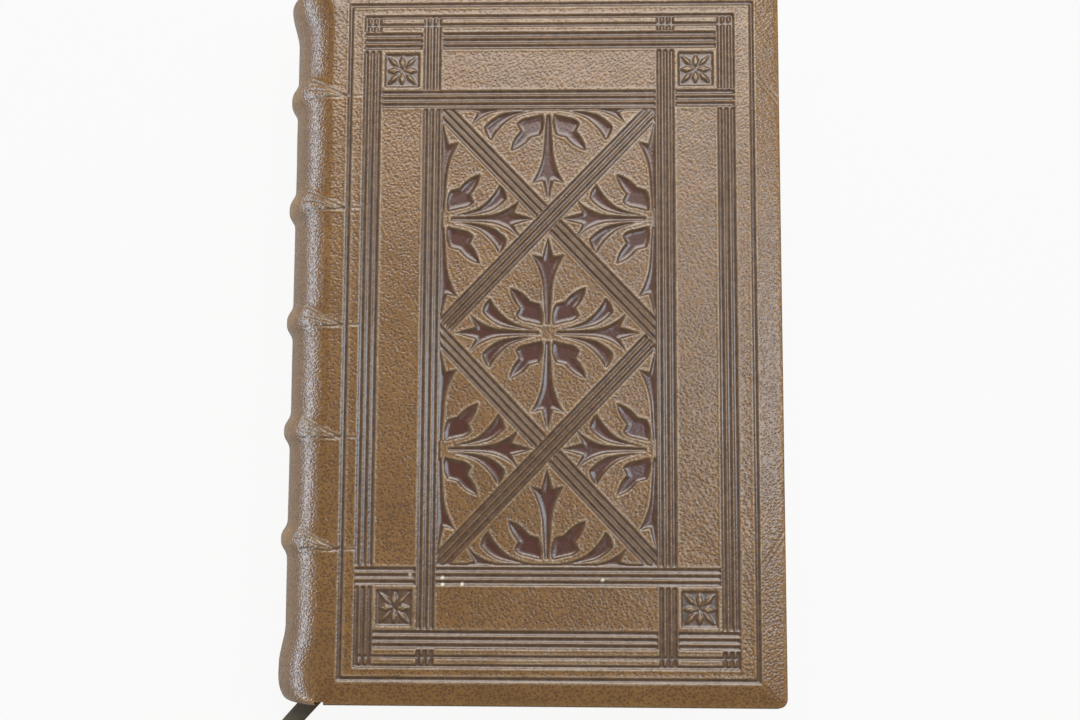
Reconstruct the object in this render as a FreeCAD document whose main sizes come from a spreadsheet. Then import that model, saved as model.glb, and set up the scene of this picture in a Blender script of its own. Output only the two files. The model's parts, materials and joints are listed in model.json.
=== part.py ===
import FreeCAD, Part
import math
import operator
import os
import Sketcher

# An antique book bound in brown leather, lying on its back cover.
# +Z is up, the spine faces -X, the head of the book faces +Y. The origin is under the middle
# of the closed book, on the surface that it lies on. Lengths are in millimetres.
# u is the distance from the joint line, where a cover hinges, towards the fore edge.

SIZES = {
    # the closed book
    "cover_width": 118.5,
    "cover_height": 190.0,
    "book_thick": 38.0,
    "spine_swell": 12.0,
    "band_swell": 13.7,
    "cap_swell": 13.9,
    # a cover: leather over board, with card and paper filling in between the turn-ins
    "leather_thick": 0.8,
    "board_thick": 3.0,
    "turn_in_thick": 0.4,
    "turn_in_width": 11.0,
    "corner_round": 2.6,
    "bevel_width": 6.4,
    "bevel_drop": 1.1,
    "joint_gap": 0.2,
    "cover_gap": 0.3,
    # the pages
    "square": 3.5,
    "paper_thick": 0.2,
    "fore_hollow": 5.0,
    "shoulder_set": 0.75,
    # the spine
    "spine_lining_thick": 0.64,
    "lining_margin": 2.0,
    "cord_size": 3.2,
    "band_width": 8.2,
    "band_crown": 4.4,
    "band_crown_rise": 0.7,
    "band_1_place": -53.1,
    "band_2_place": -24.4,
    "band_3_place": 4.8,
    "band_4_place": 35.8,
    "band_5_place": 66.1,
    "band_slant": 2.6,
    "cap_length": 20.0,
    "cap_round": 3.0,
    "cap_lip": 2.2,
    "end_band_size": 2.4,
    "end_band_reach": 56.0,
    # the slips of the sewing cords, let into the boards
    "slip_length": 9.0,
    "slip_width": 5.4,
    "slip_tip": 1.6,
    "slip_depth": 1.0,
    # the blind tooling, as a depth and as places from the middle of the tooled frame
    "tool_depth": 0.35,
    "tool_centre": 57.75,
    "strap_width": 4.4,
    "ridge_width": 0.55,
    "lip_width": 0.4,
    "outer_strap_place": 46.7,
    "inner_strap_place": 30.8,
    "border_strap_place": 78.3,
    "panel_strap_place": 62.4,
    "line_width": 0.8,
    "inner_line_place": 82.6,
    "outer_line_place": 84.9,
    "panel_line_gap": 0.45,
    "panel_line_width": 0.5,
    "frame_line_width": 1.5,
    "frame_line_joint": 4.7,
    "frame_line_fore": 7.3,
    "frame_line_end": 6.8,
    "tail_tip": 4.6,
    "tail_spread": 1.7,
    "tail_line_width": 0.55,
    "tail_dash_start": 5.7,
    "tail_dash_end": 8.2,
    "leaf_unit": 1.0,
    "flower_side": 9.1,
    # the ribbon
    "ribbon_width": 4.6,
    "ribbon_thick": 0.3,
}

document = FreeCAD.newDocument("antique_leather_book")
sheet = document.addObject("Spreadsheet::Sheet", "sizes")
for row, (name, value) in enumerate(SIZES.items(), start=1):
    sheet.set(f"A{row}", name)
    sheet.set(f"B{row}", str(value))
    sheet.setAlias(f"B{row}", name)
document.recompute()


class Size:
    """A length that knows its value and the formula that ties it to the sheet."""

    def __init__(self, value, formula):
        self.value = value
        self.formula = formula

    def joined(self, other, sign, work):
        if not isinstance(other, Size):
            other = Size(float(other), str(float(other)))
        return Size(work(self.value, other.value), f"({self.formula} {sign} {other.formula})")

    def __add__(self, other):
        return self.joined(other, "+", operator.add)

    def __sub__(self, other):
        return self.joined(other, "-", operator.sub)

    def __mul__(self, other):
        return self.joined(other, "*", operator.mul)

    def __truediv__(self, other):
        return self.joined(other, "/", operator.truediv)

    def __neg__(self):
        return Size(-self.value, f"(0 - {self.formula})")

    def __pow__(self, power):
        return Size(self.value ** power, f"({self.formula} ^ {power})")


def size(name):
    return Size(float(getattr(sheet, name)), f"sizes.{name}")


def root(length):
    return Size(math.sqrt(length.value), f"sqrt({length.formula})")


def angle_of_cosine(ratio):
    return Size(math.degrees(math.acos(ratio.value)), f"(acos({ratio.formula}) / 1 deg)")


ZERO = size("joint_gap") * 0.0
BANDS = [size(f"band_{number}_place") for number in range(1, 6)]


def bind(item, sizes):
    for prop, length in sizes.items():
        item.setExpression(prop, length.formula)


def new_body(name):
    body = document.addObject("PartDesign::Body", name)
    body.Label = name
    return body


def new_sketch(body, plane, name):
    sketch = body.newObject("Sketcher::SketchObject", name)
    support = next(item for item in body.Origin.OriginFeatures if item.Role == plane)
    sketch.AttachmentSupport = (support, [""])
    sketch.MapMode = "FlatFace"
    return sketch


def draw_outline(sketch, corners):
    """Closes a chain of corners. A corner with a radius starts an arc to the next corner:
    above zero it turns left on its way, below zero it turns right."""
    first = sketch.GeometryCount
    shapes = []
    ends = []
    for index, corner in enumerate(corners):
        following = corners[(index + 1) % len(corners)]
        start = FreeCAD.Vector(corner[0].value, corner[1].value, 0)
        end = FreeCAD.Vector(following[0].value, following[1].value, 0)
        if len(corner) == 2:
            shapes.append(Part.LineSegment(start, end))
            ends.append((1, 2))
            continue
        turn = 1 if corner[2].value > 0 else -1
        chord = end - start
        reach = math.sqrt(corner[2].value ** 2 - chord.Length ** 2 / 4)
        centre = (start + end) / 2 + FreeCAD.Vector(-chord.y, chord.x, 0).normalize() * reach * turn
        before, after = (start, end) if turn > 0 else (end, start)
        angles = [math.atan2(point.y - centre.y, point.x - centre.x) for point in (before, after)]
        circle = Part.Circle(centre, FreeCAD.Vector(0, 0, 1), abs(corner[2].value))
        shapes.append(Part.ArcOfCircle(circle, angles[0], angles[1]))
        ends.append((1, 2) if turn > 0 else (2, 1))
    sketch.addGeometry(shapes, False)
    links = []
    for index in range(len(corners)):
        following = (index + 1) % len(corners)
        links.append(Sketcher.Constraint("Coincident", first + index, ends[index][1],
                                         first + following, ends[following][0]))
    sketch.addConstraint(links)
    for index, corner in enumerate(corners):
        for kind, length in (("DistanceX", corner[0]), ("DistanceY", corner[1])):
            rule = Sketcher.Constraint(kind, -1, 1, first + index, ends[index][0], length.value)
            number = sketch.addConstraint(rule)
            sketch.setExpression(f"Constraints[{number}]", length.formula)
        if len(corner) == 3:
            radius = corner[2] if corner[2].value > 0 else -corner[2]
            number = sketch.addConstraint(Sketcher.Constraint("Radius", first + index, radius.value))
            sketch.setExpression(f"Constraints[{number}]", radius.formula)


def draw_hexagon(sketch, x, y, radius):
    """A hexagon whose flat sides lie across the book."""
    corners = []
    for step in range(6):
        angle = math.radians(60 * step + 30)
        corners.append((x + radius * math.cos(angle), y + radius * math.sin(angle)))
    draw_outline(sketch, corners)


def draw_rectangle(sketch, left, right, low, high):
    draw_outline(sketch, [(left, low), (right, low), (right, high), (left, high)])


def pad(body, sketch, length, symmetric=False, reversed_way=False):
    feature = body.newObject("PartDesign::Pad", f"{body.Name}_pad")
    feature.Profile = sketch
    if symmetric:
        feature.SideType = "Symmetric"
    feature.Reversed = reversed_way
    bind(feature, {"Length": length})
    document.recompute()
    return feature


def revolve(body, sketch, angle):
    """Turns a profile about the sketch's upright axis, half of the angle each way."""
    feature = body.newObject("PartDesign::Revolution", f"{body.Name}_turn")
    feature.Profile = sketch
    feature.ReferenceAxis = (sketch, ["V_Axis"])
    feature.Midplane = True
    bind(feature, {"Angle": angle})
    document.recompute()
    return feature


def place(item, u, y, z):
    bind(item, {"Placement.Base.x": joint_x + u, "Placement.Base.y": y, "Placement.Base.z": z})


def cut(name, base, tools):
    """Takes one or more solids away from another."""
    tool = tools[0]
    if len(tools) > 1:
        tool = document.addObject("Part::MultiFuse", f"{name}_room")
        tool.Shapes = tools
    result = document.addObject("Part::Cut", name)
    result.Base = base
    result.Tool = tool
    result.Label = name
    return result


# The spine is a part of a cylinder that meets both joint lines. A band or a cap swells further
# out at the middle of the spine, so it turns about an axis of its own, nearer to the spine, and
# dies out at the joint lines.
half_thick = size("book_thick") / 2.0
joint_x = (size("cap_swell") - size("cover_width")) / 2.0


def swell_radius(swell):
    return (half_thick ** 2 + swell ** 2) / (swell * 2.0)


spine_radius = swell_radius(size("spine_swell"))
spine_axis_u = spine_radius - size("spine_swell")
band_radius = swell_radius(size("band_swell"))
band_axis_u = band_radius - size("band_swell")
cap_radius = swell_radius(size("cap_swell"))
cap_axis_u = cap_radius - size("cap_swell")
spine_inner = spine_radius - size("leather_thick")
block_radius = spine_inner - size("spine_lining_thick")
half_height = size("cover_height") / 2.0
block_half = half_height - size("square")
fore_u = size("cover_width") - size("square")
cover_thick = size("leather_thick") + size("board_thick") + size("turn_in_thick")
endpaper_low = cover_thick + size("cover_gap")
block_low = endpaper_low + size("paper_thick")
block_high = size("book_thick") - block_low


def turned_ring(name, profile, axis_u, inner_radius):
    """A ring round the spine that stops short of the joint line by the joint gap."""
    body = new_body(name)
    sketch = new_sketch(body, "XY_Plane", f"{name}_profile")
    profile(sketch)
    document.recompute()
    revolve(body, sketch, angle_of_cosine((axis_u + size("joint_gap")) / inner_radius) * 2.0)
    place(body, axis_u, ZERO, half_thick)
    return body


# Sewing cords: five linen cords across the back of the pages.
cord_radius = size("cord_size") / 2.0
cord_path_radius = band_radius - size("leather_thick") - cord_radius
cords = []
for number, band in enumerate(BANDS, start=1):
    cords.append(turned_ring(
        f"sewing_cord_{number}",
        lambda sketch, band=band: draw_hexagon(sketch, -cord_path_radius, band, cord_radius),
        band_axis_u, cord_path_radius - cord_radius))

# Ribbon marker: it leaves the pages at the tail, near the spine, and comes down to the table.
RIBBON_HEADING = 226.2
RIBBON_DEPTH = 1.5
RIBBON_ROUTE = [(0.0, 16.0), (13.5, 15.6), (28.0, 0.35), (45.5, 0.35)]
ribbon_points = [FreeCAD.Vector(along, 0, height) for along, height in RIBBON_ROUTE]
ribbon_edges = []
run_start = ribbon_points[0]
for before, corner, after in zip(ribbon_points, ribbon_points[1:], ribbon_points[2:]):
    to_before = before - corner
    to_after = after - corner
    turn = math.pi - to_before.getAngle(to_after)
    tangent = 0.45 * min(to_before.Length, to_after.Length)
    radius = tangent / math.tan(turn / 2)
    print(f"ribbon bend of radius {radius:.1f} mm")
    arc_start = corner + to_before.normalize() * tangent
    arc_end = corner + to_after.normalize() * tangent
    inward = (to_before + to_after).normalize()
    middle = corner + inward * (radius / math.cos(turn / 2) - radius)
    ribbon_edges.append(Part.LineSegment(run_start, arc_start).toShape())
    ribbon_edges.append(Part.Arc(arc_start, middle, arc_end).toShape())
    run_start = arc_end
ribbon_edges.append(Part.LineSegment(run_start, ribbon_points[-1]).toShape())
ribbon_path = Part.Wire(ribbon_edges)
ribbon_w = size("ribbon_width").value
ribbon_t = size("ribbon_thick").value
ribbon_section = Part.makePolygon([
    ribbon_points[0] + FreeCAD.Vector(0, side * ribbon_w / 2, up * ribbon_t / 2)
    for side, up in ((-1, -1), (1, -1), (1, 1), (-1, 1), (-1, -1))])
ribbon_marker = document.addObject("Part::Feature", "ribbon_marker")
ribbon_marker.Label = "ribbon_marker"
ribbon_marker.Shape = ribbon_path.makePipeShell([ribbon_section], True, True)
ribbon_marker.Placement = FreeCAD.Placement(
    FreeCAD.Vector(joint_x.value, RIBBON_DEPTH - block_half.value, 0),
    FreeCAD.Rotation(FreeCAD.Vector(0, 0, 1), RIBBON_HEADING))

# Text block: the sewn pages, rounded and backed, with a shoulder for each board to sit against
# and a fore edge that is as hollow as the back is round.
block_form = new_body("text_block_form")
block_profile = new_sketch(block_form, "XZ_Plane", "text_block_profile")
half_block = (block_high - block_low) / 2.0
fore_radius = (half_block ** 2 + size("fore_hollow") ** 2) / (size("fore_hollow") * 2.0)
tip_rise = root(block_radius ** 2 - (spine_axis_u + size("shoulder_set")) ** 2)
shoulder_angle = angle_of_cosine((spine_axis_u + size("shoulder_set")) / block_radius)
draw_outline(block_profile, [
    (fore_u, block_low, -fore_radius),
    (fore_u, block_high),
    (-size("joint_gap"), block_high),
    (-size("shoulder_set"), half_thick + tip_rise, block_radius),
    (-size("shoulder_set"), half_thick - tip_rise),
    (-size("joint_gap"), block_low)])
document.recompute()
pad(block_form, block_profile, block_half * 2.0, symmetric=True)
place(block_form, ZERO, ZERO, ZERO)
text_block = cut("text_block", block_form, cords + [ribbon_marker])

# Spine lining: paper glued to the back of the pages, between and under the cords.
lining_form = new_body("spine_lining_form")
lining_profile = new_sketch(lining_form, "XY_Plane", "spine_lining_profile")
draw_rectangle(lining_profile, -spine_inner, -block_radius, -block_half, block_half)
document.recompute()
revolve(lining_form, lining_profile, shoulder_angle * 2.0 - size("lining_margin") * 2.0)
place(lining_form, spine_axis_u, ZERO, half_thick)
spine_lining = cut("spine_lining", lining_form, cords)

# Head band and tail band: a sewn core on each end of the pages, under the leather cap.
end_bands = []
for name, side in (("head_band", 1.0), ("tail_band", -1.0)):
    band_body = new_body(name)
    band_sketch = new_sketch(band_body, "XY_Plane", f"{name}_profile")
    band_middle = (block_half + size("end_band_size") / 2.0) * side
    draw_hexagon(band_sketch, size("end_band_size") / 2.0 - block_radius, band_middle,
                 size("end_band_size") / 2.0)
    document.recompute()
    revolve(band_body, band_sketch, size("end_band_reach") * 2.0)
    place(band_body, spine_axis_u, ZERO, half_thick)
    end_bands.append(band_body)


# Spine leather: a shell with five raised bands and a cap at each end that curls over the band.
shell_half = half_height - size("cap_round") * 0.67


def draw_shell(sketch):
    draw_rectangle(sketch, -spine_radius, -spine_inner, -shell_half, shell_half)


shell = turned_ring("spine_shell", draw_shell, spine_axis_u, spine_inner)
band_foot = band_radius - (size("band_swell") - size("spine_swell")) - size("leather_thick") / 4.0
band_root = band_foot - size("leather_thick") / 2.0
band_side = band_radius - size("band_crown_rise")
crown_half = size("band_crown") / 2.0
foot_half = size("band_width") / 2.0
bands = []
for number, band in enumerate(BANDS, start=1):
    def draw_band(sketch, band=band):
        draw_outline(sketch, [
            (-band_root, band - foot_half),
            (-band_root, band + foot_half),
            (-band_foot, band + foot_half),
            (-band_side, band + crown_half),
            (-band_radius, band + crown_half / 2.0),
            (-band_radius, band - crown_half / 2.0),
            (-band_side, band - crown_half),
            (-band_foot, band - foot_half)])
    bands.append(turned_ring(f"band_{number}", draw_band, band_axis_u, band_root))

cap_base = cap_radius - (size("cap_swell") - size("spine_swell"))
cap_inner = cap_base - size("leather_thick") - size("cap_lip")
caps = []
for name, side in (("head_cap", 1.0), ("tail_cap", -1.0)):
    def draw_cap(sketch, side=side):
        end = half_height * side
        skin = size("leather_thick") * side
        length = size("cap_length") * side
        bend = size("cap_round")
        buried = cap_base - size("leather_thick") / 2.0
        draw_outline(sketch, [
            (-cap_inner, end - skin),
            (-(cap_radius - bend * 1.2), end - skin),
            (-buried, end - bend * (0.8 * side)),
            (-buried, end - length),
            (-(buried + size("leather_thick") / 3.0), end - length),
            (-cap_radius, end - length / 2.0),
            (-cap_radius, end - bend * (1.6 * side)),
            (-(cap_radius - bend * 0.25), end - bend * (0.65 * side)),
            (-(cap_radius - bend * 0.65), end - bend * (0.18 * side)),
            (-(cap_radius - bend * 1.1), end),
            (-cap_inner, end)])
    caps.append(turned_ring(name, draw_cap, cap_axis_u, cap_inner))

spine_room = new_body("spine_room")
room_profile = new_sketch(spine_room, "XY_Plane", "spine_room_profile")
room_end = half_height - size("leather_thick") * 1.25
draw_rectangle(room_profile, -spine_inner, -spine_inner / 2.0, -room_end, room_end)
document.recompute()
revolve(spine_room, room_profile, shoulder_angle * 2.5)
place(spine_room, spine_axis_u, ZERO, half_thick)
spine_form = document.addObject("Part::MultiFuse", "spine_form")
spine_form.Shapes = [shell] + bands + caps
spine_leather = cut("spine_leather", spine_form, cords + [spine_room])


def flat_piece(name, left, right, half_width, z, thickness):
    body = new_body(name)
    sketch = new_sketch(body, "XY_Plane", f"{name}_outline")
    draw_rectangle(sketch, left, right, -half_width, half_width)
    document.recompute()
    pad(body, sketch, thickness)
    place(body, ZERO, ZERO, z)
    return body


# Free endpapers: the first and last leaves, on the pages.
free_endpapers = [
    flat_piece("front_free_endpaper", ZERO, fore_u, block_half, block_high, size("paper_thick")),
    flat_piece("back_free_endpaper", ZERO, fore_u, block_half, endpaper_low, size("paper_thick"))]


# A cover is drawn with its outer face up, at height zero, and hangs down from there.
# The back cover is the same, turned over.
def seat_cover(item, front):
    if front:
        place(item, ZERO, ZERO, size("book_thick"))
        return
    item.Placement = FreeCAD.Placement(FreeCAD.Vector(), FreeCAD.Rotation(FreeCAD.Vector(1, 0, 0), 180))
    place(item, ZERO, ZERO, ZERO)


def cover_form(name, inset, top, bottom, front):
    """A board shape with two rounded corners, and a bevel along three of its edges."""
    body = new_body(f"{name}_outline")
    sketch = new_sketch(body, "XY_Plane", f"{name}_corners")
    fore = size("cover_width") - inset
    end = half_height - inset
    bend = size("corner_round") - inset / 2.0
    draw_outline(sketch, [
        (size("joint_gap"), -end),
        (fore - bend, -end, bend),
        (fore, bend - end),
        (fore, end - bend, bend),
        (fore - bend, end),
        (size("joint_gap"), end)])
    bind(sketch, {"AttachmentOffset.Base.z": top})
    document.recompute()
    pad(body, sketch, top - bottom, reversed_way=True)

    spread = ((top - bottom) * size("bevel_width")) / size("bevel_drop")
    flat_fore = size("cover_width") - size("bevel_width")
    flat_end = half_height - size("bevel_width")
    wedge = document.addObject("Part::Wedge", f"{name}_bevel")
    bind(wedge, {
        "Ymin": bottom, "Ymax": top,
        "Xmin": size("joint_gap"), "X2min": size("joint_gap"),
        "Xmax": flat_fore + spread, "X2max": flat_fore,
        "Zmin": -(flat_end + spread), "Z2min": -flat_end,
        "Zmax": flat_end + spread, "Z2max": flat_end})
    wedge.Placement.Rotation = FreeCAD.Rotation(FreeCAD.Vector(1, 0, 0), 90)
    form = document.addObject("Part::Common", name)
    form.Base = body
    form.Tool = wedge
    document.recompute()
    seat_cover(form, front)
    return form


# Blind tooling of the front cover, pressed into the leather. It is drawn about the middle of the
# tooled frame, with its tools standing up from the bottom of the lines, and it looks the same
# after half a turn, so only one half of the straps is drawn.
tool_depth = size("tool_depth")
tool_u = size("tool_centre")
strap_half = size("strap_width") / 2.0
groove_half = (size("strap_width") - size("ridge_width") * 2.0) / 6.0
ridge_far = groove_half + size("ridge_width")
strap_clear = strap_half + size("lip_width")
outer_strap = size("outer_strap_place")
inner_strap = size("inner_strap_place")
border_strap = size("border_strap_place")
panel_strap = size("panel_strap_place")
strap_lines = ((-strap_half, -ridge_far), (-groove_half, groove_half), (ridge_far, strap_half))


def tool_body(name, draw, half_turn=True):
    """Stamps standing on the floor of the tooling and reaching up through the leather's face."""
    body = new_body(name)
    sketch = new_sketch(body, "XY_Plane", f"{name}_lines")
    draw(sketch)
    document.recompute()
    stamp = pad(body, sketch, tool_depth * 2.0)
    if half_turn:
        turned = body.newObject("PartDesign::PolarPattern", f"{name}_turned")
        turned.Originals = [stamp]
        turned.Axis = (sketch, ["N_Axis"])
        turned.Angle = 360
        turned.Occurrences = 2
        body.Tip = turned
    place(body, tool_u, ZERO, size("book_thick") - tool_depth)
    return body


def draw_uprights(sketch):
    """The upright straps on the spine side. Each dives under one level strap in two."""
    ends = size("outer_line_place") + size("line_width") / 2.0
    weave =((-outer_strap, -panel_strap, border_strap), (-inner_strap, -border_strap, panel_strap))
    for across, low_dive, high_dive in weave:
        for near, far in strap_lines:
            for low, high in ((-ends, low_dive - strap_clear),
                              (low_dive + strap_clear, high_dive - strap_clear),
                              (high_dive + strap_clear, ends)):
                draw_rectangle(sketch, across + near, across + far, low, high)


def draw_levels(sketch):
    """The level straps towards the head, and two single lines beyond them."""
    reach = outer_strap + strap_half
    weave = ((border_strap, (-reach, -inner_strap - strap_clear),
              (strap_clear - inner_strap, outer_strap - strap_clear)),
             (panel_strap, (strap_clear - outer_strap, inner_strap - strap_clear),
              (inner_strap + strap_clear, reach)))
    for along, *runs in weave:
        for near, far in strap_lines:
            for left, right in runs:
                draw_rectangle(sketch, left, right, along + near, along + far)
    for line in ("inner_line_place", "outer_line_place"):
        draw_rectangle(sketch, -reach, reach, size(line) - size("line_width") / 2.0,
                       size(line) + size("line_width") / 2.0)


panel_wide = inner_strap - strap_half
panel_high = panel_strap - strap_half
slope = panel_high / (panel_wide * 2.0)
steepness = root(slope * slope + 1.0)
lattice_clear = strap_clear * steepness


def draw_lattice(sketch):
    """The lozenge straps of the upper half, trimmed later where they meet the panel's line.
    The one that falls to the right dives at the crossing."""
    half = panel_high / 2.0
    for near, far in strap_lines:
        rises = [near * steepness, far * steepness]
        starts = [(-panel_wide, panel_high + rise) for rise in rises]
        before = [((rise - lattice_clear) / (slope * 2.0), half + (rise + lattice_clear) / 2.0)
                  for rise in rises]
        after = [((rise + lattice_clear) / (slope * 2.0), half + (rise - lattice_clear) / 2.0)
                 for rise in rises]
        ends = [(panel_wide, rise) for rise in rises]
        feet = [((lattice_clear - rise - panel_high) / (slope * 2.0), (rise + lattice_clear) / 2.0)
                for rise in rises]
        heads = [(panel_wide, panel_high + rise) for rise in rises]
        draw_outline(sketch, [starts[0], before[0], before[1], starts[1]])
        draw_outline(sketch, [after[0], ends[0], ends[1], after[1]])
        draw_outline(sketch, [feet[0], heads[0], heads[1], feet[1]])


panel_line_x = panel_wide - size("panel_line_gap")
panel_line_y = panel_high - size("panel_line_gap")
edge_x = panel_line_x - size("panel_line_width") - size("lip_width")
edge_y = panel_line_y - size("panel_line_width") - size("lip_width")


def draw_panel_line(sketch):
    """A thin line round the panel, inside the straps."""
    for inset in (ZERO, size("panel_line_width")):
        draw_rectangle(sketch, inset - panel_line_x, panel_line_x - inset,
                       inset - panel_line_y, panel_line_y - inset)


def draw_frame_line(sketch):
    """One wide line round the cover, where the bevel starts."""
    for inset in (ZERO, size("frame_line_width")):
        left = size("frame_line_joint") - size("frame_line_width") / 2.0 + inset
        right = size("cover_width") - size("frame_line_fore") + size("frame_line_width") / 2.0 - inset
        high = half_height - size("frame_line_end") + size("frame_line_width") / 2.0 - inset
        draw_rectangle(sketch, left - tool_u, right - tool_u, -high, high)


def draw_band_tails(sketch):
    """Where each raised band dies out on the cover, three lines run to one point, with a dash."""
    start = size("joint_gap") - tool_u
    tip = size("tail_tip") - tool_u
    half = size("tail_line_width") / 2.0
    for band in BANDS:
        low = band - size("band_slant")
        for way in (1.0, 0.0, -1.0):
            middle = low + size("tail_spread") * way
            draw_outline(sketch, [(start, middle - half), (tip, low + half * (way * 2.0)),
                                  (start, middle + half)])
        draw_rectangle(sketch, size("tail_dash_start") - tool_u, size("tail_dash_end") - tool_u,
                       low - half / 2.0, low + half / 2.0)


frame_line = tool_body("frame_line", draw_frame_line, half_turn=False)
lozenge_straps = tool_body("lozenge_straps", draw_lattice)
tool_bodies = [
    tool_body("upright_straps", draw_uprights),
    tool_body("level_straps", draw_levels),
    tool_body("panel_line", draw_panel_line, half_turn=False),
    tool_body("band_tails", draw_band_tails, half_turn=False),
    frame_line]

# The back cover has the frame line alone.
back_frame_line = document.addObject("App::Link", "back_frame_line")
back_frame_line.LinkedObject = frame_line
back_frame_line.LinkTransform = False
back_frame_line.Placement.Rotation = FreeCAD.Rotation(FreeCAD.Vector(1, 0, 0), 180)
place(back_frame_line, tool_u, ZERO, tool_depth)

# The leaves of the panel: one spray of four spears, four wings and four ivy leaves, set at the
# middle of each lozenge and of each half lozenge, and trimmed where it meets the panel's edge.
leaf_unit = size("leaf_unit")
UP_SPEAR = [(0.45, 2.3), (1.0, 10.5, -20.0), (4.1, 20.5), (1.35, 19.8), (0.0, 25.0),
            (-1.35, 19.8), (-4.1, 20.5, -20.0), (-1.0, 10.5), (-0.45, 2.3)]
SIDE_SPEAR = [(2.3, -0.35), (11.7, -0.8, -14.0), (20.2, -4.9), (18.5, -1.5), (23.7, 0.0),
              (18.5, 1.5), (20.2, 4.9, -14.0), (11.7, 0.8), (2.3, 0.35)]
WING = [(3.6, 1.0, 30.0), (12.4, 2.1, 12.0), (16.8, 5.4, 5.0), (15.0, 9.0, -16.0), (9.7, 2.9, -20.0)]
IVY_LEAF = [(1.5, 2.1), (5.2, 3.0, 4.0), (8.2, 4.6), (7.2, 6.6, 9.0), (9.8, 11.8, 9.0), (4.6, 8.2),
            (2.2, 7.6, 7.0)]


def draw_leaf(sketch, points):
    draw_outline(sketch, [tuple(leaf_unit * value for value in point) for point in points])


def copies(name, stamp, places):
    linked = []
    for number, (x, y) in enumerate(places, start=1):
        link = document.addObject("App::Link", f"{name}_{number}")
        link.LinkedObject = stamp
        link.LinkTransform = False
        place(link, tool_u + x, y, size("book_thick") - tool_depth)
        linked.append(link)
    return linked


spray = new_body("leaf_spray")
spear_sketch = new_sketch(spray, "XY_Plane", "spear_outlines")
draw_leaf(spear_sketch, UP_SPEAR)
draw_leaf(spear_sketch, SIDE_SPEAR)
document.recompute()
spears = pad(spray, spear_sketch, tool_depth * 2.0)
spear_turn = spray.newObject("PartDesign::PolarPattern", "spears_turned")
spear_turn.Originals = [spears]
spear_turn.Axis = (spear_sketch, ["N_Axis"])
spear_turn.Angle = 360
spear_turn.Occurrences = 2
spray.Tip = spear_turn
leaf_sketch = new_sketch(spray, "XY_Plane", "leaf_outlines")
draw_leaf(leaf_sketch, WING)
draw_leaf(leaf_sketch, IVY_LEAF)
document.recompute()
leaves = pad(spray, leaf_sketch, tool_depth * 2.0)
leaf_mirror = spray.newObject("PartDesign::MultiTransform", "leaves_mirrored")
leaf_mirror.Originals = [leaves]
mirrors = []
for axis in ("V_Axis", "H_Axis"):
    mirror = spray.newObject("PartDesign::Mirrored", f"leaves_{axis[0]}")
    mirror.MirrorPlane = (leaf_sketch, [axis])
    mirrors.append(mirror)
leaf_mirror.Transformations = mirrors
spray.Tip = leaf_mirror
half_high = panel_high / 2.0
sprays = copies("spray", spray, [
    (ZERO, ZERO), (ZERO, panel_high), (ZERO, -panel_high),
    (panel_wide, half_high), (panel_wide, -half_high),
    (-panel_wide, half_high), (-panel_wide, -half_high)])
panel_room = document.addObject("Part::Box", "panel_room")
bind(panel_room, {"Length": edge_x * 2.0, "Width": edge_y * 2.0, "Height": tool_depth * 2.0})
place(panel_room, tool_u - edge_x, -edge_y, size("book_thick") - tool_depth)
panel_stamps = document.addObject("Part::MultiFuse", "panel_stamps")
panel_stamps.Shapes = sprays + [lozenge_straps]
panel_tools = document.addObject("Part::Common", "panel_tools")
panel_tools.Base = panel_stamps
panel_tools.Tool = panel_room

# Corner flowers: a sunk square in each corner of the strapwork, round eight raised petals.
flower = new_body("corner_flower")
flower_sketch = new_sketch(flower, "XY_Plane", "flower_outline")
flower_half = size("flower_side") / 2.0
draw_rectangle(flower_sketch, -flower_half, flower_half, -flower_half, flower_half)
STRAIGHT_PETAL = ((0.6, 0.0), (2.1, 0.75), (3.8, 0.0), (2.1, -0.75))
SLANTED_PETAL = ((1.3, 0.0), (2.9, 0.5), (5.2, 0.0), (2.9, -0.5))
for step in range(8):
    angle = math.radians(45 * step)
    petal = SLANTED_PETAL if step % 2 else STRAIGHT_PETAL
    draw_outline(flower_sketch, [
        (leaf_unit * (x * math.cos(angle) - y * math.sin(angle)),
         leaf_unit * (x * math.sin(angle) + y * math.cos(angle))) for x, y in petal])
document.recompute()
pad(flower, flower_sketch, tool_depth * 2.0)
flower_x = (outer_strap + inner_strap) / 2.0
flower_y = (border_strap + panel_strap) / 2.0
flowers = copies("flower", flower, [
    (flower_x, flower_y), (-flower_x, flower_y), (-flower_x, -flower_y), (flower_x, -flower_y)])


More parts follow.
